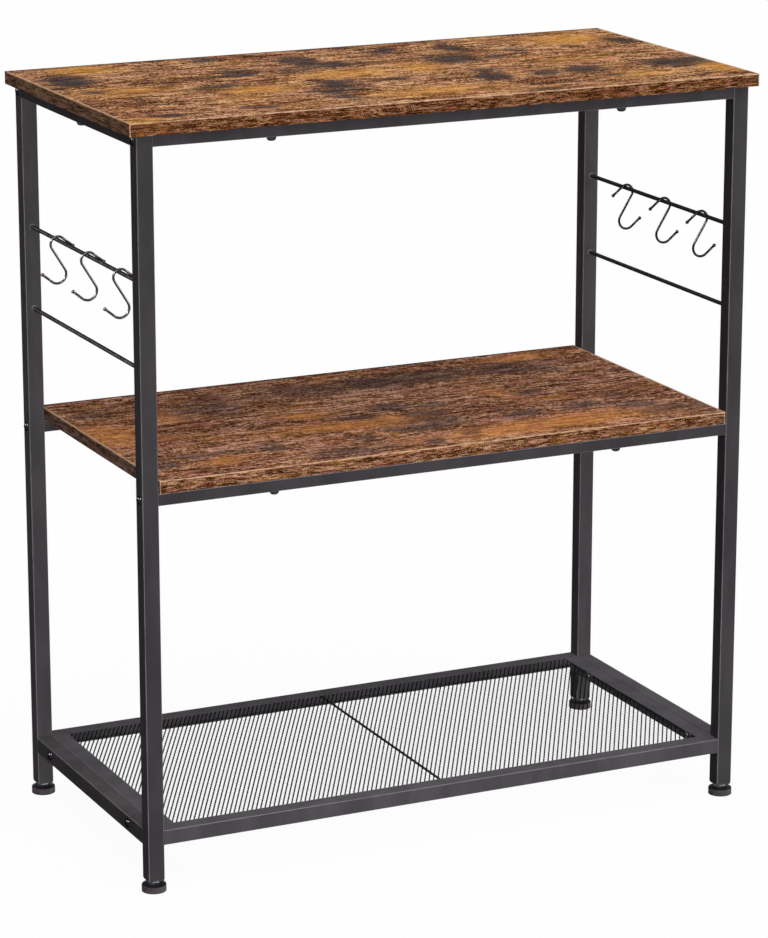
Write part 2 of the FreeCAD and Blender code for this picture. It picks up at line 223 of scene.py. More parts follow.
# How the layers make its colours. A fade is where a mask starts and ends, and its strength at both.
detail_weights = {"Streaks": 0.16, "Flecks": 0.22, "Speckle": 0.2, "Fibre": 0.07}
golden_weights = {"Lumps": 0.2, "Streaks": 0.14}
golden_fade = (-0.1, 0.75, 0.0, 0.9)
golden_share = 0.4
umber_share = 0.5
dash_share = 0.7
rust_weights = {"Lumps": 1.0, "Lines": 0.4}
rust_fade = (0.1, 0.8, 0.0, 0.4)
end_level = 0.92
end_weights = {"Streaks": 0.35, "Lines": 0.45, "Flecks": 0.3}
end_share = 0.8
dark_weights = {"Lumps": 0.3, "Streaks": 0.12, "Flecks": 0.1}
dark_start = -0.05
dark_end = 0.6
smudge_lumps = 0.25
wavy_fade = (0.0, 0.5)
blush_lines = 0.6
patch_growth = 1.2
beyond_any_board = 1e6

# Painted highlight and painted shade along the boards' edges: pale rims and lines at the front and ends, dark
# ones at the back, as millimetres in from the corner where they start and end, and their strength
end_face_lean = 0.7
end_highlight_rim = (1.8, 1.4, 0.0, 0.75)
back_shade_rim = (4.5, 3.5, 0.0, 0.8)
edge_line = (1.5, 1.0)
back_line = 5.0
corner_line_share = 0.8
highlight_break = (-0.8, 0.2, 0.45, 1.0)

FLOAT = "NodeSocketFloat"
VECTOR = "NodeSocketVector"


def srgb(red, green, blue):
    """A colour written as 0 to 255, as the shader's linear colour."""
    def linear(value):
        share = value / 255
        return share / 12.92 if share <= 0.04045 else ((share + 0.055) / 1.055) ** 2.4

    return linear(red), linear(green), linear(blue), 1.0


white = (1.0, 1.0, 1.0, 1.0)


class Tree:
    """Adds shader nodes to one node tree and links them."""

    def __init__(self, tree):
        self.tree = tree

    def add(self, kind, inputs=None, **settings):
        node = self.tree.nodes.new(kind)
        for key, value in settings.items():
            setattr(node, key, value)
        for key, value in (inputs or {}).items():
            self.put(node.inputs[key], value)
        return node

    def put(self, socket, value):
        if isinstance(value, bpy.types.NodeSocket):
            self.tree.links.new(value, socket)
        else:
            socket.default_value = value

    def place(self, group_tree, **inputs):
        """A group in this tree, with its inputs given by name. Returns its outputs."""
        node = self.add("ShaderNodeGroup", node_tree=group_tree)
        for key, value in inputs.items():
            self.put(node.inputs[key.replace("_", " ")], value)
        return node.outputs

    def math(self, operation, first, second=0.0):
        return self.add("ShaderNodeMath", {0: first, 1: second}, operation=operation).outputs[0]

    def total(self, *terms):
        """The sum of terms, each a value or a (value, factor) pair."""
        result = 0.0
        for term in terms:
            value, factor = term if isinstance(term, tuple) else (term, 1.0)
            numbers = {0: value, 1: factor, 2: result}
            result = self.add("ShaderNodeMath", numbers, operation="MULTIPLY_ADD").outputs[0]
        return result

    def between(self, value, low, high, out_low=0.0, out_high=1.0, smooth=True):
        """The value's place between low and high, as out_low to out_high."""
        node = self.add("ShaderNodeMapRange", {"Value": value, "From Min": low, "From Max": high,
                                               "To Min": out_low, "To Max": out_high},
                        interpolation_type="SMOOTHSTEP" if smooth else "LINEAR")
        return node.outputs["Result"]

    def mix(self, factor, first, second, blend="MIX"):
        colours = {0: factor, 6: first, 7: second}
        return self.add("ShaderNodeMix", colours, data_type="RGBA", blend_type=blend).outputs[2]

    def tinted(self, colour, red, green, blue):
        """The colour with its red, green and blue multiplied."""
        tint = self.add("ShaderNodeCombineColor", {0: red, 1: green, 2: blue}).outputs[0]
        return self.mix(1.0, colour, tint, "MULTIPLY")

    def shaded(self, colour, light):
        """The colour times a grey value."""
        return self.tinted(colour, light, light, light)

    def vector_math(self, operation, first, second=(0.0, 0.0, 0.0)):
        node = self.add("ShaderNodeVectorMath", {0: first, 1: second}, operation=operation)
        return node.outputs["Value" if operation in ("DOT_PRODUCT", "LENGTH") else "Vector"]

    def joined(self, x=0.0, y=0.0, z=0.0):
        """A vector from its three parts."""
        return self.add("ShaderNodeCombineXYZ", {0: x, 1: y, 2: z}).outputs[0]

    def parts(self, vector):
        """The three parts of a vector."""
        return self.add("ShaderNodeSeparateXYZ", {0: vector}).outputs

    def normal(self):
        """The surface's normal."""
        return self.add("ShaderNodeNewGeometry").outputs["Normal"]

    def noise(self, vector, size_mm, detail=3.0, roughness=0.5, distortion=0.0):
        """Noise whose features are about size_mm along each axis. The vector is in millimetres."""
        scaled = self.vector_math("DIVIDE", vector, size_mm)
        node = self.add("ShaderNodeTexNoise", {"Vector": scaled, "Scale": 1.0, "Detail": detail,
                                               "Roughness": roughness, "Distortion": distortion})
        return node.outputs["Fac"]

    def ramp(self, value, stops):
        """A colour ramp, its stops as (place, colour)."""
        node = self.add("ShaderNodeValToRGB", {"Fac": value})
        elements = node.color_ramp.elements
        while len(elements) < len(stops):
            elements.new(1.0)
        for element, (place, colour) in zip(elements, stops):
            element.position = place
            element.color = colour
        return node.outputs["Color"]


def weighed(layers, weights):
    """The layers that weights names, as terms of a sum."""
    return [(layers[label], weight) for label, weight in weights.items()]


def group(name, inputs, outputs, build):
    """A shader node group. build gets the tree and the inputs by name, and returns the outputs by name."""
    tree = bpy.data.node_groups.new(name, "ShaderNodeTree")
    for label, kind in inputs.items():
        tree.interface.new_socket(name=label, in_out="INPUT", socket_type=kind)
    for label in outputs:
        kind = VECTOR if label == "Place" else FLOAT
        tree.interface.new_socket(name=label, in_out="OUTPUT", socket_type=kind)
    maker = Tree(tree)
    start = maker.add("NodeGroupInput")
    end = maker.add("NodeGroupOutput")
    made = build(maker, start.outputs)
    for label in outputs:
        tree.links.new(made[label], end.inputs[label])
    return tree


def build_edge_wear(tree, given):
    """A mask of sharp outer edges, broken up by noise."""
    rounded = tree.add("ShaderNodeBevel", {"Radius": given["Radius"]}, samples=edge_samples)
    turn = tree.math("SUBTRACT", 1.0, tree.vector_math("DOT_PRODUCT", rounded.outputs[0], tree.normal()))
    patches = tree.noise(given["Vector"], *wear_patches)
    broken = tree.between(patches, noise_low, noise_high)
    return {"Mask": tree.math("MULTIPLY", tree.between(turn, *edge_turn), broken)}


def build_corner_highlight(tree, given):
    """A mask of the rounded corners between flat faces that lie along the axes, where the powder coat gets its
    painted highlight lines.
    """
    lean = tree.parts(tree.vector_math("ABSOLUTE", tree.normal()))
    largest = tree.math("MAXIMUM", lean[0], tree.math("MAXIMUM", lean[1], lean[2]))
    patches = tree.noise(given["Vector"], *corner_patches)
    return {"Mask": tree.math("MULTIPLY", tree.between(largest, *corner_lean),
                              tree.between(patches, *corner_break))}


def build_powder_coat(tree, given):
    """Fine orange peel and grit, and cloudy tone that is longer along the legs."""
    peel = tree.noise(given["Vector"], *orange_peel)
    grit = tree.noise(given["Vector"], *paint_grit)
    cloud = tree.noise(given["Vector"], *paint_cloud)
    tone = tree.math("ADD", tree.between(cloud, noise_low, noise_high, -cloud_tone, cloud_tone),
                     tree.between(grit, noise_low, noise_high, -grit_tone, grit_tone))
    return {"Height": tree.total((peel, peel_share), (grit, grit_share)), "Tone": tone, "Cloud": cloud}


def build_rustic_grain(tree, given):
    """The layers of a rustic print, with its grain along the vector's X. The vector is in millimetres.
    Layers go from -1 to 1 and masks from 0 to 1. Place is the vector with a tremble, to roughen patches."""
    def signed(label, vector):
        low = noise_middle - layer_half_widths[label]
        high = noise_middle + layer_half_widths[label]
        return tree.between(tree.noise(vector, *layer_noise[label]), low, high, -1.0, 1.0)

    place = tree.vector_math("ADD", given["Vector"], given["Offset"])
    sway = tree.noise(place, *layer_noise["Sway"])
    ripple = tree.noise(place, *layer_noise["Ripple"])
    both = tree.total(-noise_middle * (sway_mm + ripple_mm), (sway, sway_mm), (ripple, ripple_mm))
    shift = tree.math("MULTIPLY", both, given["Bend"])
    bent = tree.vector_math("ADD", place, tree.joined(y=shift, z=shift))
    tremble = tree.total(-noise_middle * tremble_mm, (ripple, tremble_mm))
    own_place = {"Blotch": tree.vector_math("DIVIDE", bent, given["Blotch Size"]), "Speckle": place}
    layers = {label: signed(label, own_place.get(label, bent)) for label in layer_half_widths}
    for label, (low, high) in mask_ranges.items():
        layers[label] = tree.between(tree.noise(bent, *layer_noise[label]), low, high)
    rise = (tree.parts(bent)[1], 2 * math.pi / figure_pitch_mm)
    layers["Figure"] = tree.math("SINE", tree.total(rise, *weighed(layers, figure_weights)))
    layers["Place"] = tree.vector_math("ADD", given["Vector"], tree.joined(x=tremble, y=tremble))
    layers["Height"] = tree.total(*weighed(layers, height_weights))
    return layers


def build_print_patch(tree, given):
    """How deep a point lies in an oval patch of the print: below 0 outside it, and Depth at its middle."""
    away = tree.vector_math("SUBTRACT", given["Vector"], given["Centre"])
    share = tree.vector_math("LENGTH", tree.vector_math("DIVIDE", away, given["Half Size"]))
    return {"Depth": tree.math("MULTIPLY", given["Depth"], tree.math("SUBTRACT", 1.0, share))}


edge_wear = group("edge_wear", {"Vector": VECTOR, "Radius": FLOAT}, ["Mask"], build_edge_wear)
corner_highlight = group("corner_highlight", {"Vector": VECTOR}, ["Mask"], build_corner_highlight)
powder_coat = group("powder_coat", {"Vector": VECTOR}, ["Height", "Tone", "Cloud"], build_powder_coat)
rustic_grain = group("rustic_grain",
                     {"Vector": VECTOR, "Offset": VECTOR, "Blotch Size": VECTOR, "Bend": FLOAT},
                     ["Place", *layer_half_widths, *mask_ranges, "Figure", "Height"], build_rustic_grain)
print_patch = group("print_patch",
                    {"Vector": VECTOR, "Centre": VECTOR, "Half Size": VECTOR, "Depth": FLOAT},
                    ["Depth"], build_print_patch)


def new_material(name):
    """A material with an empty Principled shader. Returns it, its tree and the shader."""
    material = bpy.data.materials.new(name)
    material.use_nodes = True
    shader = material.node_tree.nodes["Principled BSDF"]
    return material, Tree(material.node_tree), shader


def millimetres(tree):
    """The point on the piece in its own axes, in millimetres."""
    coordinates = tree.add("ShaderNodeTexCoord").outputs["Object"]
    return tree.vector_math("MULTIPLY", coordinates, (1 / MM, 1 / MM, 1 / MM))


def bump(tree, shader, height, distance):
    node = tree.add("ShaderNodeBump", {"Height": height, "Distance": distance})
    tree.put(shader.inputs["Normal"], node.outputs["Normal"])


def painted_metal(name, colour, painted_light_line_colour, highlight_strength, dust_and_top_light=0.13):
    """Powder-coated steel: orange peel, cloudy tone, dust and painted top light on the upward faces, and
    painted highlight lines along the corners.
    """
    material, tree, shader = new_material(name)
    place = millimetres(tree)
    coat = tree.place(powder_coat, Vector=place)
    # The corner mask gives painted highlight lines, pale where light would catch the rounded corners
    line = tree.place(corner_highlight, Vector=place)["Mask"]
    toned = tree.shaded(colour, tree.total(1.0, (coat["Tone"], paint_tone)))
    # Dust on the upward faces, paler there partly as painted top light
    dust_and_top_light_here = tree.between(coat["Cloud"], noise_low, noise_high,
                             (1 - dust_and_top_light_swing) * dust_and_top_light, (1 + dust_and_top_light_swing) * dust_and_top_light)
    settled_and_top_lit = tree.math("MULTIPLY", tree.between(tree.parts(tree.normal())[2], *dust_and_top_light_slope), dust_and_top_light_here)
    dusted_and_top_lit = tree.mix(settled_and_top_lit, toned, dust_and_top_light_colour)
    tree.put(shader.inputs["Base Color"],
             tree.mix(tree.math("MULTIPLY", line, highlight_strength), dusted_and_top_lit, painted_light_line_colour))
    tree.put(shader.inputs["Roughness"],
             tree.between(coat["Cloud"], noise_low, noise_high,
                          paint_roughness - paint_roughness_swing, paint_roughness + paint_roughness_swing))
    shader.inputs["Specular IOR Level"].default_value = paint_specular
    bump(tree, shader, coat["Height"], paint_relief)
    return material


def patch_field(tree, place, patches):
    """The greatest depth of the patches at each point. A patch is its centre, half sizes and depth."""
    field = -1.0
    for x, y, half_length, half_width, depth in patches:
        half_size = (patch_growth * half_length, patch_growth * half_width, beyond_any_board)
        patch = tree.place(print_patch, Vector=place, Centre=(x, y, 0.0), Half_Size=half_size, Depth=depth)
        field = tree.math("MAXIMUM", field, patch["Depth"])
    return field


def from_edge(tree, along, corner, start, end, out_low=0.0, out_high=1.0, two_sided=True):
    """A mask that starts and ends a few millimetres in from a corner's place along an axis."""
    reach = tree.math("ABSOLUTE", along) if two_sided else along
    return tree.between(reach, corner - start, corner - end, out_low, out_high)


def board_material(name, palette, offset, blotch_size, weights, zoom=1.0, dark=(), golden=(), wavy=(),
                   lines=None, dark_strength=0.92, end_zoom=1.0, margin=None, bend=1.0, blush=0.0):
    """Rustic board print. The grain runs along X, and on end faces along Y. dark, golden and wavy are its
    patches. margin is the corner of a board with a painted rim, a pale highlight at its ends and a dark shade
    at its back, and lines that of an edging with painted highlight lines along its edges and painted shade at
    its back."""
    material, tree, shader = new_material(name)
    place = millimetres(tree)
    axes = tree.parts(place)
    lean = tree.math("ABSOLUTE", tree.parts(tree.normal())[0])
    is_end = tree.math("GREATER_THAN", lean, end_face_lean)
    across = tree.joined(axes[1], axes[0], axes[2])
    turned = tree.add("ShaderNodeMix", {0: is_end, 4: place, 5: across}, data_type="VECTOR").outputs[1]
    finer = tree.between(is_end, 0.0, 1.0, zoom, end_zoom)
    scaled = tree.vector_math("MULTIPLY", turned, tree.joined(finer, finer, finer))
    grain = tree.place(rustic_grain, Vector=scaled, Offset=offset, Blotch_Size=blotch_size, Bend=bend)

    def patch_mask(patches, layer_weights, low, high, out_low, out_high):
        """A mask of the patches, their outlines broken up by layers of the grain."""
        depth = patch_field(tree, grain["Place"], patches)
        return tree.between(tree.total(depth, *weighed(grain, layer_weights)), low, high, out_low, out_high)

    def painted(colour, strength, paint):
        """The colour with another over it. strength is a mask, or a mask and its share."""
        mask = tree.math("MULTIPLY", *strength) if isinstance(strength, tuple) else strength
        return tree.mix(mask, colour, paint)

    calm = tree.math("SUBTRACT", 1.0, tree.math("MULTIPLY", is_end, end_calm))
    tone = [(tree.math("MULTIPLY", layer, calm), weight) for layer, weight in weighed(grain, weights)]
    if wavy:
        figured = tree.between(patch_field(tree, grain["Place"], wavy), *wavy_fade)
        tone.append((tree.math("MULTIPLY", grain["Figure"], figured), figure_share))
    stops = [(tone_place, palette[label]) for label, tone_place in tone_places.items()]
    colour = tree.ramp(tree.total(tone_places["middle"], *tone), stops)
    detail = tree.total(1.0, *weighed(grain, detail_weights))
    gold = tree.math("MULTIPLY", grain["Golden"], golden_share)
    if golden:
        gold = tree.math("MAXIMUM", gold, patch_mask(golden, golden_weights, *golden_fade))
    colour = painted(colour, gold, tree.shaded(palette["golden"], detail))
    colour = painted(colour, (grain["Umber"], umber_share), tree.shaded(palette["umber"], detail))
    colour = painted(colour, (grain["Dashes"], dash_share), palette["dash"])
    rust = tree.between(tree.total(*weighed(grain, rust_weights)), *rust_fade)
    colour = painted(colour, rust, tree.shaded(palette["rust"], detail))
    end_grain = tree.total(end_level, *weighed(grain, end_weights))
    colour = painted(colour, (is_end, end_share), tree.shaded(palette["end"], end_grain))
    if dark:
        smudge = tree.shaded(palette["smudge"], tree.total(detail, (grain["Lumps"], smudge_lumps)))
        shady = patch_mask(dark, dark_weights, dark_start, dark_end, 0.0, dark_strength)
        colour = painted(colour, shady, smudge)
    if blush:
        blue = tree.total(1.0, (grain["Lumps"], blush), (grain["Lines"], blush_lines * blush))
        colour = tree.tinted(colour, 1.0, 1.0, blue)
    # The margin paints a pale highlight rim at the board's ends and a dark shade rim along its back
    if margin:
        at_back = from_edge(tree, axes[1], margin[1], *back_shade_rim, two_sided=False)
        colour = painted(colour, from_edge(tree, axes[0], margin[0], *end_highlight_rim), palette["edge"])
        colour = painted(colour, at_back, palette["dash"])
    # The lines paint a pale highlight along the edging's edges, broken up by the grain, and a dark shade along
    # its back
    if lines:
        near = [from_edge(tree, axes[k], lines[k], *edge_line) for k in range(3)]
        corner_post = tree.math("MULTIPLY", tree.math("MULTIPLY", near[0], near[1]), corner_line_share)
        is_back = tree.math("GREATER_THAN", axes[1], lines[1] - back_line)
        painted_light_line_colour = tree.mix(is_back, palette["edge"], palette["dash"])
        wear_and_highlight_mask = tree.between(grain["Flecks"], *highlight_break)
        colour = painted(colour, (tree.math("MAXIMUM", near[2], corner_post), wear_and_highlight_mask), painted_light_line_colour)
    tree.put(shader.inputs["Base Color"], colour)
    tree.put(shader.inputs["Roughness"], tree.between(grain["Streaks"], -1.0, 1.0, *print_roughness))
    shader.inputs["Specular IOR Level"].default_value = print_specular
    bump(tree, shader, grain["Height"], print_relief)
    return material


def gloss_metal(name, colour, roughness, rim=white):
    """Smooth metal with faint handling marks. rim tints the glancing reflection."""
    material, tree, shader = new_material(name)
    place = millimetres(tree)
    marks = tree.noise(place, *handling_marks)
    wear_and_highlight_mask = tree.place(edge_wear, Vector=place, Radius=metal_edge_radius)["Mask"]
    toned = tree.shaded(colour, tree.between(marks, noise_low, noise_high, *metal_tone))
    pale = tuple(min(1.0, metal_edge_gain * part) for part in colour[:3]) + (1.0,)
    tree.put(shader.inputs["Base Color"],
             tree.mix(tree.math("MULTIPLY", wear_and_highlight_mask, metal_edge_wear), toned, pale))
    smooth, rough = (roughness * swing for swing in metal_roughness_swing)
    tree.put(shader.inputs["Roughness"], tree.between(marks, noise_low, noise_high, smooth, rough))
    shader.inputs["Metallic"].default_value = 1.0
    shader.inputs["Specular Tint"].default_value = rim
    bump(tree, shader, marks, metal_relief)
    return material


def moulded_plastic(name, colour, lit_side_colour, worn_colour):
    """Fine-textured black plastic, with painted light: dark on top as in the leg's shade, and greyer on its
    upright sides.
    """
    material, tree, shader = new_material(name)
    place = millimetres(tree)
    texture = tree.noise(place, *plastic_texture)
    scuffs = tree.noise(place, *plastic_scuffs)
    wear_and_highlight_mask = tree.place(edge_wear, Vector=place, Radius=plastic_edge_radius)["Mask"]
    # Painted light: the upright sides get the lighter colour, the tops the dark one as in shade
    lit_side = tree.between(tree.math("ABSOLUTE", tree.parts(tree.normal())[2]), *plastic_lit_side_lean)
    toned = tree.shaded(tree.mix(lit_side, colour, lit_side_colour), tree.between(scuffs, *plastic_tone))
    tree.put(shader.inputs["Base Color"],
             tree.mix(tree.math("MULTIPLY", wear_and_highlight_mask, plastic_edge_wear), toned, worn_colour))
    tree.put(shader.inputs["Roughness"], tree.between(scuffs, noise_low, noise_high, *plastic_roughness))
    shader.inputs["Specular IOR Level"].default_value = plastic_specular
    bump(tree, shader, texture, plastic_relief)
    return material


def toned_palette(palette, gains, **changed):
    """The palette with each colour's red, green and blue multiplied, but for the ends and the painted edge
    highlight.
    changed names colours that are given as they are."""
    toned = dict(palette)
    for label in palette:
        if label not in ("end", "edge"):
            toned[label] = tuple(part * gain for part, gain in zip(palette[label], gains)) + (1.0,)
    return {**toned, **changed}


# Palettes of the boards' print. edge is the colour of the painted highlight along the boards' edges, and dash
# also gives the painted shade along their backs.
face_palette = {
    "deep": srgb(60, 35, 24), "brown": srgb(104, 65, 43), "middle": srgb(147, 98, 63),
    "tan": srgb(180, 127, 85), "pale": srgb(228, 180, 136), "golden": srgb(206, 147, 72),
    "umber": srgb(126, 77, 60), "dash": srgb(52, 31, 20), "smudge": srgb(58, 51, 52),
    "edge": srgb(214, 174, 140), "end": srgb(130, 104, 86), "rust": srgb(170, 98, 58),
}
edging_palette = {
    "deep": srgb(38, 14, 4), "brown": srgb(68, 36, 19), "middle": srgb(100, 62, 38),
    "tan": srgb(136, 94, 62), "pale": srgb(184, 140, 104), "golden": srgb(146, 92, 42),
    "umber": srgb(80, 42, 30), "dash": srgb(40, 20, 12), "smudge": srgb(62, 50, 44),
    "edge": srgb(214, 174, 140), "end": srgb(128, 98, 78), "rust": srgb(120, 60, 32),
}
middle_face_palette = toned_palette(face_palette, (0.98, 0.99, 1.22), golden=srgb(207, 138, 78),
                                    smudge=srgb(61, 57, 60))
top_edging_palette = toned_palette(edging_palette, (0.93, 0.9, 0.86))
middle_edging_palette = toned_palette(edging_palette, (1.2, 1.27, 1.42), end=srgb(110, 86, 76))

# Patches of the print, with painted shade among them on the middle board: centre in X and Y and half sizes in
# millimetres, and depth
top_dark = [
    (-360, 95, 36, 44, 1.0), (-390, 50, 14, 10, 0.9), (-150, 80, 24, 26, 0.8), (-175, 50, 42, 17, 1.0),
    (-55, 110, 27, 48, 1.0), (-30, 75, 46, 26, 0.75), (-90, 60, 30, 21, 0.6), (70, 150, 26, 24, 0.6),
    (160, 130, 21, 42, 0.8), (125, 60, 38, 40, 1.0), (175, 50, 28, 17, 0.7), (375, 100, 19, 32, 0.9),
    (355, -80, 52, 30, 1.1), (230, -80, 31, 28, 0.8), (175, -85, 22, 16, 0.75), (105, -85, 26, 31, 1.0),
    (120, -50, 16, 30, 0.7), (-85, -55, 34, 34, 0.8), (-105, -95, 50, 12, 1.0), (-215, -15, 38, 18, 0.8),
    (-355, 10, 24, 16, 0.65), (-10, -50, 28, 12, 0.7), (-110, -140, 20, 36, 0.55), (-155, 175, 25, 22, 0.7),
    (35, 190, 26, 12, 0.7), (220, 85, 20, 16, 0.6), (235, -130, 25, 18, 0.5), (300, 85, 18, 8, 0.6),
    (-340, -170, 28, 14, 0.6), (-220, -160, 26, 10, 0.6), (130, -190, 38, 8, 0.6), (-265, 35, 36, 6, 0.7),
]
top_golden = [
    (-310, 170, 46, 40, 0.9), (-175, -50, 58, 28, 0.8), (-40, 10, 80, 34, 0.75), (60, 15, 36, 44, 0.7),
    (315, 135, 70, 50, 0.95), (385, -120, 30, 50, 1.0), (0, -145, 90, 38, 0.65), (-370, -185, 42, 15, 0.9),
    (-325, 0, 80, 32, 0.65), (250, 0, 90, 34, 0.4), (275, -140, 66, 32, 0.55),
]
# Dark smudges of the middle board's print; the broad ones along its back, under the top board, are painted
# shade as well
middle_smudges_and_shade = [
    (72, 123, 200, 34, 0.8), (60, 128, 40, 16, 1.0), (220, 133, 45, 18, 0.95), (255, 103, 70, 22, 0.6),
    (15, 3, 38, 17, 0.9), (70, -7, 30, 12, 0.8), (-50, -27, 36, 14, 0.8), (35, -42, 33, 19, 1.0),
    (10, -102, 62, 19, 1.15), (40, -77, 30, 24, 1.0), (145, -95, 34, 19, 0.9), (235, -92, 38, 17, 0.95),
    (290, -112, 27, 17, 0.95), (330, -152, 52, 24, 0.8), (-8, -167, 14, 13, 1.3), (47, -150, 12, 9, 1.3),
    (-75, -117, 16, 13, 0.9), (-195, -112, 18, 19, 0.7), (-270, -107, 60, 9, 0.9), (-115, -167, 58, 21, 0.7),
    (-200, 93, 52, 52, 0.55), (200, -2, 20, 10, 0.8), (-78, 138, 16, 8, 0.9), (-330, 118, 30, 26, 0.6),
    (-335, -132, 18, 15, 0.8), (295, -57, 24, 17, 0.5),
]
middle_golden = [
    (-345, 18, 46, 56, 0.8), (-100, 8, 46, 17, 0.8), (-70, -57, 125, 30, 0.8), (155, -152, 170, 34, 0.95),
    (-265, -142, 30, 19, 0.8), (270, 163, 80, 18, 0.7), (160, 13, 36, 29, 0.5), (-250, 68, 30, 34, 0.55),
]
middle_wavy = [(-150, 15, 260, 60, 1.0), (310, 15, 110, 55, 1.0)]

board_top = board_material(
    "board_top_print", face_palette, offset=(40.0, 15.0, 0.0), blotch_size=(90.0, 45.0, 45.0),
    weights=face_weights, dark=top_dark, golden=top_golden, margin=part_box("top_board")[1] / MM, blush=0.26)
board_middle = board_material(
    "board_middle_print", middle_face_palette, offset=(1530.0, 420.0, 0.0), blotch_size=(190.0, 50.0, 50.0),
    weights=middle_weights, dark=middle_smudges_and_shade, golden=middle_golden, wavy=middle_wavy, dark_strength=0.64,
    margin=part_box("middle_board")[1] / MM, blush=0.2)
edging_look = {"blotch_size": (60.0, 20.0, 20.0), "weights": edging_weights, "zoom": 2.2, "end_zoom": 2.0,
               "bend": 0.35, "blush": 0.24}
edging_top = board_material("edging_top_print", top_edging_palette, offset=(700.0, 880.0, 40.0),
                            lines=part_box("top_edging")[1] / MM, **edging_look)
edging_middle = board_material("edging_middle_print", middle_edging_palette, offset=(2300.0, 990.0, 40.0),
                               lines=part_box("middle_edging")[1] / MM, **edging_look)

# Painted highlight: the pale colour of the lines along the powder coats' corners, and each coat's strength of
# it
paint_highlight_line = srgb(132, 129, 132)
# The colour of the dust and painted top light on the upward faces
dust_and_top_light_colour = srgb(150, 147, 150)
black_paint = painted_metal("black_powder_coat", srgb(64, 61, 64), paint_highlight_line, highlight_strength=0.85)
# A lighter copy of the black coat for the back legs: painted light against the shade they stand in
lit_back_leg_paint = painted_metal("lit_back_leg_powder_coat", srgb(72, 69, 72), paint_highlight_line, highlight_strength=0.85)
channel_paint = painted_metal("channel_powder_coat", srgb(78, 75, 79), paint_highlight_line, highlight_strength=0.85)
# A shaded copy of the channel coat, a little darker and with fainter painted highlight lines, for corners that
# face away from the light
shaded_channel_paint = painted_metal("shaded_channel_powder_coat", srgb(76, 73, 77), paint_highlight_line, highlight_strength=0.25)
rod_paint = painted_metal("rod_powder_coat", srgb(56, 54, 56), srgb(96, 94, 96), highlight_strength=0.25, dust_and_top_light=0.0)
mesh_paint = painted_metal("mesh_powder_coat", srgb(26, 25, 26), srgb(80, 78, 80), highlight_strength=0.0, dust_and_top_light=0.0)
dark_rim = srgb(0, 0, 0)
# A paler, glossy copy of the rod coat for the left rods: a painted highlight along them
highlit_near_rod_paint = gloss_metal("highlit_near_rod_gloss_coat", srgb(98, 96, 98), roughness=0.24, rim=dark_rim)
hook_finish = gloss_metal("hook_black_chrome", srgb(36, 34, 37), roughness=0.17, rim=dark_rim)
# A paler copy of the hooks' chrome for the left hooks: a painted highlight along the wire
highlit_near_hook_finish = gloss_metal("highlit_near_hook_black_chrome", srgb(62, 60, 64), roughness=0.25, rim=dark_rim)
bolt_finish = gloss_metal("bolt_black_zinc", srgb(32, 31, 33), roughness=0.16, rim=dark_rim)
screw_finish = gloss_metal("screw_black_zinc", srgb(60, 59, 62), roughness=0.16, rim=dark_rim)
stud_finish = gloss_metal("stud_dark_zinc", srgb(160, 160, 165), roughness=0.16, rim=dark_rim)
nut_finish = gloss_metal("nut_zinc", srgb(150, 150, 152), roughness=0.3)
# The foot pads' dark top is painted shade, and their lighter sides painted light
foot_plastic = moulded_plastic("foot_plastic", srgb(30, 28, 31), lit_side_colour=srgb(76, 70, 75),
                               worn_colour=srgb(72, 72, 74))


def finish_of(name):
    """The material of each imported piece."""
    if name.endswith("_board"):
        return board_top if name.startswith("top") else board_middle
    if name.endswith("_edging"):
        return edging_top if name.startswith("top") else edging_middle
    # The left hooks get the paler copy, as a painted highlight
    if name.startswith("hook_"):
        return highlit_near_hook_finish if "left" in name else hook_finish
    if name.startswith(("foot_pad", "foot_insert")):
        return foot_plastic
    if name.startswith("foot_stud"):
        return stud_finish
    if name in ("shelf_nuts", "rail_end_inserts"):
        return nut_finish
    if name in ("frame_bolts", "shelf_bolts") or name.endswith("_screws"):
        return bolt_finish
    # The left rods get the paler copy, as a painted highlight
    if name.endswith("_rod_left"):
        return highlit_near_rod_paint
    if name.endswith("_rod_right") or name == "mesh_support_wire":
        return rod_paint
    # The right rail and the right and back channels get the shaded copy of the coat
    if name == "bottom_side_rail_right":
        return shaded_channel_paint
    # The back legs get the lighter copy of the coat, as painted light
    if name.startswith("leg_back"):
        return lit_back_leg_paint
    if name.startswith("mesh_frame"):
        return shaded_channel_paint if name.endswith(("_right", "_back")) else channel_paint
    return black_paint


for name, piece in nodes.items():
    finish = finish_of(name)
    for slot in piece.material_slots:
        slot.material = finish


def new_piece(name, mesh, finish, body="frame"):
    """A new object with its finish, riding on its body."""
    mesh.materials.append(finish)
    piece = bpy.data.objects.new(name, mesh)
    bpy.context.scene.collection.objects.link(piece)
    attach(piece, body)
    return piece


def round_angles(count):
    """Even steps round a circle, in radians."""
    return [2 * math.pi * step / count for step in range(count)]


def add_skin(shape, rings):
    """A closed skin over rings of vertices, all with the same number of them."""
    for first, last in zip(rings, rings[1:]):
        for k in range(len(first)):
            after = (k + 1) % len(first)
            shape.faces.new((first[k], first[after], last[after], last[k]))
    shape.faces.new(list(reversed(rings[0])))
    shape.faces.new(rings[-1])


def to_mesh(shape, name, smooth=False):
    """The shape as a mesh, its faces turned outward. smooth is for its faces of three and four sides."""
    bmesh.ops.recalc_face_normals(shape, faces=shape.faces)
    mesh = bpy.data.meshes.new(name)
    shape.to_mesh(mesh)
    shape.free()
    for face in mesh.polygons:
        face.use_smooth = smooth and len(face.vertices) <= 4
    return mesh


def clipped(start, direction, low, high):
    """The stretch of a slanting line inside a rectangle, as two distances along it, or None."""
    near = -math.inf
    far = math.inf
    for axis in (0, 1):
        ends = sorted((edge[axis] - start[axis]) / direction[axis] for edge in (low, high))
        near = max(near, ends[0])
        far = min(far, ends[1])
    return (near, far) if far > near else None


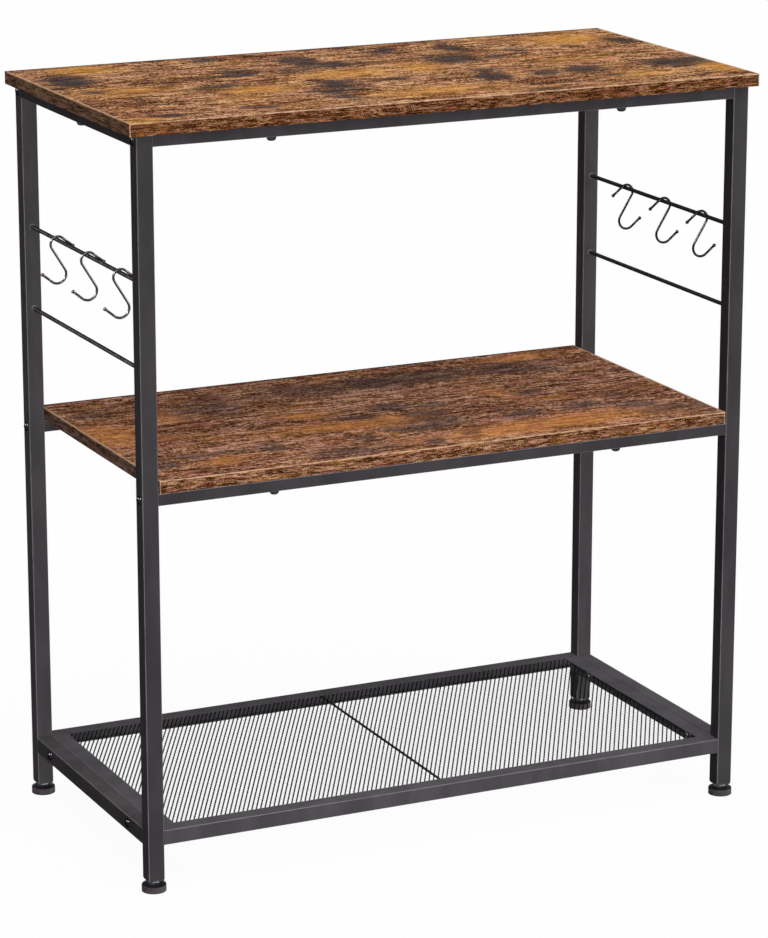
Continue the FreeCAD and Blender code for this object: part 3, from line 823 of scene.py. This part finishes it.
def add_strip(shape, points, half_wide, half_thick):
    """A closed strip along points, its section given by two half vectors."""
    corners = (half_thick + half_wide, half_thick - half_wide,
               -half_thick - half_wide, half_wide - half_thick)
    add_skin(shape, [[shape.verts.new(point + corner) for corner in corners] for point in points])


def tilted(angle):
    """The directions across a strand and through it, for a strand turned about Y by an angle."""
    turn = math.radians(angle)
    return Vector((math.cos(turn), 0, math.sin(turn))), Vector((-math.sin(turn), 0, math.cos(turn)))


def stretched(point):
    """A point of the even mesh, moved to where the sheet's opening out leaves it: wider on the right."""
    return Vector((point.x + mesh_stretch * point.x ** 2, point.y, point.z))


def before_stretch(x):
    """The place in X that stretched moves to x."""
    return (math.sqrt(1 + 4 * mesh_stretch * x) - 1) / (2 * mesh_stretch)


def expanded_mesh():
    """The mesh sheet: tilted strands both ways, with a bond where they cross, inside a plain border."""
    low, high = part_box("mesh_sheet")
    level = (low.z + high.z) / 2
    left = before_stretch(low.x)
    right = before_stretch(high.x)
    half_y = high.y
    shape = bmesh.new()
    for sign, tilt in strand_tilts.items():
        wide, thick = tilted(tilt)
        along = Vector((sign * mesh_pitch_x / 2, mesh_pitch_y / 2, 0)).normalized()
        half_wide = wide * strand_widths[sign] / 2 / along.y
        count = int((right - left + 2 * half_y) / mesh_pitch_x)
        for k in range(-count, count + 1):
            start = Vector((k * mesh_pitch_x, 0, level))
            ends = clipped(start, along, (left, -half_y), (right, half_y))
            if ends:
                near, far = ends
                places = [near + (far - near) * step / strand_steps for step in range(strand_steps + 1)]
                points = [stretched(start + along * place) for place in places]
                add_strip(shape, points, half_wide, thick * strand_thickness / 2)
    wide, thick = tilted(bond_tilt)
    reach = Vector((0, bond_length / 2, 0))
    rows = int(half_y / (mesh_pitch_y / 2))
    for row in range(-rows + 1, rows):
        for column in range(int(left / (mesh_pitch_x / 2)) + 1, int(right / (mesh_pitch_x / 2))):
            if (row + column) % 2 == 0:
                middle = stretched(Vector((column * mesh_pitch_x / 2, row * mesh_pitch_y / 2, level)))
                add_strip(shape, [middle - reach, middle + reach], wide * bond_width / 2,
                          thick * strand_thickness / 2)
    return to_mesh(shape, "expanded_mesh")


mesh_piece = new_piece("expanded_mesh", expanded_mesh(), mesh_paint)
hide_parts("mesh_sheet")


def weld_bead(name, centre, direction, radius):
    """The fillet of weld where a rod meets a leg: a ring of uneven beads."""
    shape = bmesh.new()
    rings = []
    for number in range(bead_rings + 1):
        lift = number / bead_rings * math.pi / 2
        ring = []
        for angle in round_angles(round_sides):
            swell = sum(share * math.sin(count * angle + start) for share, count, start in bead_swells)
            size = bead_size * (1 + swell)
            out = radius + size * (1 - math.sin(lift))
            up = size * (1 - math.cos(lift))
            ring.append(shape.verts.new((out * math.cos(angle), out * math.sin(angle), up)))
        rings.append(ring)
    add_skin(shape, rings)
    turn = direction.to_track_quat("Z", "Y").to_matrix().to_4x4()
    shape.transform(Matrix.Translation(centre) @ turn)
    return to_mesh(shape, name, smooth=True)


for side in SIDES:
    for rod in ("upper", "lower"):
        low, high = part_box(f"{rod}_rod_{side}")
        middle = (low + high) / 2
        for end, y, direction in (("front", low.y, Vector((0, 1, 0))), ("back", high.y, Vector((0, -1, 0)))):
            name = f"{rod}_rod_weld_{end}_{side}"
            bead = weld_bead(name, Vector((middle.x, y, middle.z)), direction, (high.x - low.x) / 2)
            new_piece(name, bead, black_paint)


def hook_line():
    """The middle line of an S-hook, from its upper tip to its lower one, about its upper bend's centre."""
    def bend(centre, radius, first, last):
        points = []
        for step in range(bend_steps + 1):
            angle = math.radians(first + (last - first) * step / bend_steps)
            points.append(centre + Vector((math.sin(angle), 0, math.cos(angle))) * radius)
        return points

    def arm(angle):
        return Vector((math.cos(math.radians(angle)), 0, math.sin(math.radians(angle))))

    apart = math.hypot(bend_offset, bend_spacing)
    crossing = math.asin((upper_bend + lower_bend) / apart)
    slant = math.degrees(crossing + math.atan2(bend_offset, bend_spacing))
    upper = bend(Vector((0, 0, 0)), upper_bend, -upper_arm_angle, 90 + slant)
    lower = bend(Vector((-bend_offset, 0, -bend_spacing)), lower_bend, 270 + slant, 180 - lower_arm_angle)
    line = [upper[0] - arm(upper_arm_angle) * upper_arm_length, *upper, *lower,
            lower[-1] + arm(lower_arm_angle) * lower_arm_length]
    lean = Matrix.Rotation(math.radians(hook_lean), 3, "Y")
    return [lean @ point for point in line]


def hook_mesh(name, centre, outward):
    """An S-hook of round wire with ball ends. outward is the side of the unit, -1 or 1."""
    line = [centre + Vector((outward * point.x, 0, point.z)) for point in hook_line()]
    shape = bmesh.new()
    rings = []
    for number, point in enumerate(line):
        before = line[max(number - 1, 0)]
        after = line[min(number + 1, len(line) - 1)]
        along = (after - before).normalized()
        across = Vector((-along.z, 0, along.x))
        ring = []
        for angle in round_angles(wire_sides):
            reach = across * math.cos(angle) + Vector((0, math.sin(angle), 0))
            ring.append(shape.verts.new(point + reach * hook_wire / 2))
        rings.append(ring)
    add_skin(shape, rings)
    for tip in (line[0], line[-1]):
        bmesh.ops.create_uvsphere(shape, u_segments=wire_sides, v_segments=ball_rings, radius=hook_ball / 2,
                                  matrix=Matrix.Translation(tip))
    return to_mesh(shape, name, smooth=True)


for side, outward in SIDES.items():
    low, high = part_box(f"upper_rod_{side}")
    rod_middle = (low + high) / 2
    rod_radius = (high.x - low.x) / 2
    drop = upper_bend - hook_wire / 2 - hook_clearance - rod_radius
    for number in hook_numbers:
        body = f"hook_{side}_{number}"
        low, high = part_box(body)
        centre = Vector((rod_middle.x, (low.y + high.y) / 2, rod_middle.z - drop))
        name = f"{body}_bent_wire"
        hook = new_piece(name, hook_mesh(name, centre, outward), finish_of(body), body)
        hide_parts(body)


def board_screws(name, centres, seat):
    """Screws with a flange, a domed head and a hexagon socket, driven upward into a board from the seat."""
    shape = bmesh.new()
    for x, y in centres:
        rings = []
        for number, (radius, height) in enumerate(screw_profile):
            ring = []
            for angle in round_angles(round_sides):
                flat = math.cos(angle % (math.pi / 3) - math.pi / 6) if number < socket_rings else 1.0
                reach = radius * MM / flat
                ring.append(shape.verts.new((x + reach * math.cos(angle), y + reach * math.sin(angle),
                                             seat + height * MM)))
            rings.append(ring)
        add_skin(shape, rings)
    return to_mesh(shape, name)


for board in ("top", "middle"):
    low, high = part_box(f"{board}_board_screws")
    centres = [(x, y) for x in (-screw_spread / 2, screw_spread / 2)
               for y in (low.y + screw_head_radius, high.y - screw_head_radius)]
    if board == "top":
        centres += [(low.x + screw_head_radius, 0.0), (high.x - screw_head_radius, 0.0)]
    name = f"{board}_board_socket_screws"
    mesh = board_screws(name, centres, low.z + screw_head_height)
    screws = new_piece(name, mesh, screw_finish)
    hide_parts(f"{board}_board_screws")


def seen_directly(tree):
    """1 for what the camera, a reflection or a view through glass sees, and 0 for the light that is given."""
    path = tree.add("ShaderNodeLightPath").outputs
    return tree.math("MAXIMUM", path["Is Camera Ray"],
                     tree.math("MAXIMUM", path["Is Glossy Ray"], path["Is Transmission Ray"]))


def floor():
    """A white floor that keeps the unit's shadow, and gives back a part of the light as a grey one would."""
    shape = bmesh.new()
    corners = ((-floor_half, -floor_half), (floor_half, -floor_half), (floor_half, floor_half),
               (-floor_half, floor_half))
    shape.faces.new([shape.verts.new((x, y, 0)) for x, y in corners])
    mesh = bpy.data.meshes.new("floor")
    shape.to_mesh(mesh)
    shape.free()
    material = bpy.data.materials.new("floor_white")
    material.use_nodes = True
    tree = Tree(material.node_tree)
    material.node_tree.nodes.remove(material.node_tree.nodes["Principled BSDF"])
    seen = seen_directly(tree)
    grey = (floor_return, floor_return, floor_return, 1.0)
    matte = tree.add("ShaderNodeBsdfDiffuse", {"Color": tree.mix(seen, grey, white)})
    glow = tree.add("ShaderNodeEmission", {"Color": white, "Strength": 1.0})
    mixed = tree.add("ShaderNodeMixShader", {0: tree.math("MULTIPLY", seen, floor_glow),
                                             1: matte.outputs[0], 2: glow.outputs[0]})
    tree.put(material.node_tree.nodes["Material Output"].inputs["Surface"], mixed.outputs[0])
    mesh.materials.append(material)
    piece = bpy.data.objects.new("floor", mesh)
    bpy.context.scene.collection.objects.link(piece)


def studio_world():
    """White where the camera or a reflection sees it, and a soft grey for the light it gives."""
    world = bpy.data.worlds.new("studio")
    bpy.context.scene.world = world
    world.use_nodes = True
    tree = Tree(world.node_tree)
    world.node_tree.nodes.clear()
    strength = tree.between(seen_directly(tree), 0.0, 1.0, sky_level, 1.0, smooth=False)
    background = tree.add("ShaderNodeBackground", {"Color": white, "Strength": strength})
    output = tree.add("ShaderNodeOutputWorld")
    tree.put(output.inputs["Surface"], background.outputs[0])


def far_lamp(name, from_right, rise, level, spread, shadow=True, gloss=True, matte=True):
    """An even light from one direction, a sun far off. Its settings are as the lamps' comment says."""
    lamp = bpy.data.lights.new(name, "SUN")
    lamp.energy = level * math.pi
    lamp.angle = math.radians(spread)
    lamp.use_shadow = shadow
    turn = math.radians(from_right)
    up = math.radians(rise)
    source = Vector((math.cos(up) * math.sin(turn), -math.cos(up) * math.cos(turn), math.sin(up)))
    piece = bpy.data.objects.new(name, lamp)
    piece.rotation_mode = "QUATERNION"
    piece.rotation_quaternion = source.to_track_quat("Z", "Y")
    piece.location = source * lamp_distance
    piece.visible_diffuse = matte
    piece.visible_glossy = gloss
    bpy.context.scene.collection.objects.link(piece)


floor()
studio_world()
for name, settings in lamps.items():
    far_lamp(name, **settings)

camera_data = bpy.data.cameras.new("camera")
camera_data.lens = camera_lens
camera_data.sensor_width = camera_sensor
camera = bpy.data.objects.new("camera", camera_data)
camera.location = camera_place
camera.rotation_euler = (math.radians(90 - camera_dip), 0, math.radians(-camera_heading))
bpy.context.scene.collection.objects.link(camera)
bpy.context.scene.camera = camera
bpy.context.scene.view_settings.view_transform = "Standard"
